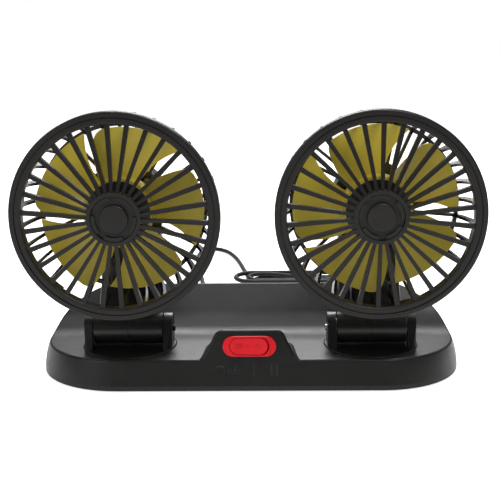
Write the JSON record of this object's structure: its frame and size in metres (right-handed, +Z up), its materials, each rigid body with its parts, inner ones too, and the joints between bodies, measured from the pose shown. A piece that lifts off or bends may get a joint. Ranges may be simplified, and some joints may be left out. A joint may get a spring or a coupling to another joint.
{
  "type": "dual head car fan",
  "caption": "Desk or dashboard fan: two caged fan heads on swivelling, tilting necks over one low base with a rocker switch and a hank of cord.",
  "frame": {"origin": "on the face the mat rests on, midway between the two turntable axes", "axes": "+X to the right seen from the front, +Y to the back, +Z up; the fans blow towards -Y"},
  "size_m": [0.2928, 0.4303, 0.1823],
  "materials": {
    "base_plastic": "fine satin",
    "turntable_plastic": "satin",
    "guard_plastic": "satin",
    "rotor_black": "satin",
    "rotor_yellow": "satin gloss",
    "switch_red": "gloss",
    "switch_black": "matte",
    "cord_rubber": "satin",
    "mat_rubber": "matte",
    "plug_plastic": "satin",
    "plug_steel": "plated",
    "screw_steel": "zinc plated",
    "motor_steel": "plated",
    "board_green": "lacquered"
  },
  "bodies": {
    "base": {"base_shell": "base_plastic", "bottom_cover": "base_plastic", "non_slip_mat": "mat_rubber", "base_screws": "screw_steel", "switch_bezel": "switch_red", "switch_body": "switch_black", "circuit_board": "board_green", "strain_relief": "cord_rubber", "power_cord": "cord_rubber", "cord_hank": "cord_rubber", "usb_plug": "plug_plastic", "usb_shell": "plug_steel"},
    "switch": {"switch_rocker": "switch_red"},
    "left_yoke": {"left_turntable": "turntable_plastic", "left_turntable_retainer": "turntable_plastic", "left_retainer_screws": "screw_steel", "left_tilt_bolt": "screw_steel", "left_tilt_nut": "screw_steel", "left_tilt_washers": "screw_steel"},
    "left_head": {"left_neck_inner_half": "turntable_plastic", "left_neck_outer_half": "turntable_plastic", "left_neck_screws": "screw_steel", "left_motor": "motor_steel", "left_rear_guard": "guard_plastic", "left_guard_screws": "screw_steel", "left_front_guard": "guard_plastic", "left_hub_cap": "guard_plastic"},
    "left_rotor": {"left_motor_shaft": "screw_steel", "left_rotor_hub": "rotor_black", "left_rotor_blades": "rotor_yellow"},
    "right_yoke": {"right_turntable": "turntable_plastic", "right_turntable_retainer": "turntable_plastic", "right_retainer_screws": "screw_steel", "right_tilt_bolt": "screw_steel", "right_tilt_nut": "screw_steel", "right_tilt_washers": "screw_steel"},
    "right_head": {"right_neck_inner_half": "turntable_plastic", "right_neck_outer_half": "turntable_plastic", "right_neck_screws": "screw_steel", "right_motor": "motor_steel", "right_rear_guard": "guard_plastic", "right_guard_screws": "screw_steel", "right_front_guard": "guard_plastic", "right_hub_cap": "guard_plastic"},
    "right_rotor": {"right_motor_shaft": "screw_steel", "right_rotor_hub": "rotor_black", "right_rotor_blades": "rotor_yellow"}
  },
  "joints": [
    {"name": "switch_rocker", "type": "hinge", "parent": "base", "child": "switch", "pos_m": [0, -0.02985, 0.02875], "axis": [0, 0.2241, 0.9746], "range_deg": [0, 14]},
    {"name": "left_swivel", "type": "hinge", "parent": "base", "child": "left_yoke", "pos_m": [-0.0814, 0, 0.0175], "axis": [0, 0, 1], "range_deg": [-90, 90]},
    {"name": "left_tilt", "type": "hinge", "parent": "left_yoke", "child": "left_head", "pos_m": [-0.0814, 0, 0.032], "axis": [1, 0, 0], "range_deg": [-30, 20]},
    {"name": "left_spin", "type": "hinge", "parent": "left_head", "child": "left_rotor", "pos_m": [-0.0814, 0, 0.1173], "axis": [0, 1, 0], "continuous": true},
    {"name": "right_swivel", "type": "hinge", "parent": "base", "child": "right_yoke", "pos_m": [0.0814, 0, 0.0175], "axis": [0, 0, 1], "range_deg": [-90, 90]},
    {"name": "right_tilt", "type": "hinge", "parent": "right_yoke", "child": "right_head", "pos_m": [0.0814, 0, 0.032], "axis": [1, 0, 0], "range_deg": [-30, 20]},
    {"name": "right_spin", "type": "hinge", "parent": "right_head", "child": "right_rotor", "pos_m": [0.0814, 0, 0.1173], "axis": [0, 1, 0], "continuous": true}
  ]
}
